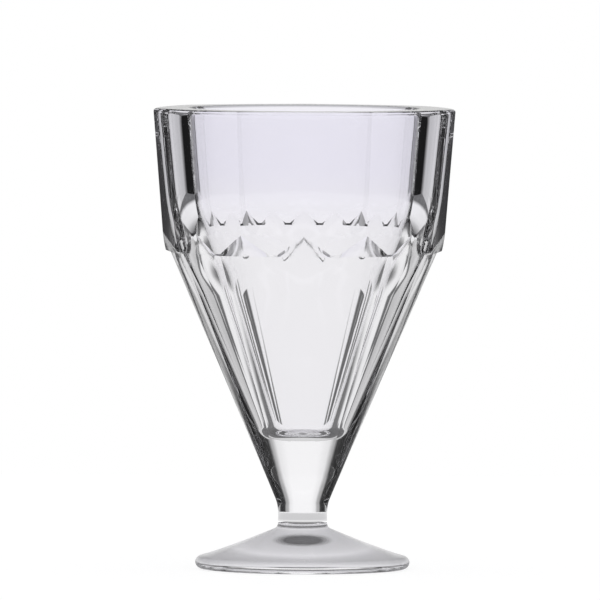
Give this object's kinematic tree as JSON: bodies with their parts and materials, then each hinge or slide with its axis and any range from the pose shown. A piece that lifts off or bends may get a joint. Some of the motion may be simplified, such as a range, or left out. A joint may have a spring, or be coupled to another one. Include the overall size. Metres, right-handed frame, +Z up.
{
  "type": "parfait glass",
  "caption": "Footed parfait glass in clear pressed glass: wide cup with bowed panels, a row of pointed teeth under the band, a faceted cone, short solid stem and round foot.",
  "frame": {"origin": "where the glass's axis meets the table, at the centre of the foot's underside", "axes": "+Z up along the axis towards the rim; one panel of the cup faces -Y, the front in the picture; +X to the right"},
  "size_m": [0.0976, 0.0975, 0.1493],
  "materials": {
    "bowl_glass": "clear pressed glass, fire polished, with a faint lavender tint",
    "stem_glass": "clear pressed glass, fire polished, with a faint lavender tint",
    "foot_glass": "clear pressed glass, fire polished, with a faint lavender tint"
  },
  "bodies": {
    "root": {"bowl": "bowl_glass", "stem": "stem_glass", "foot": "foot_glass"}
  },
  "joints": []
}
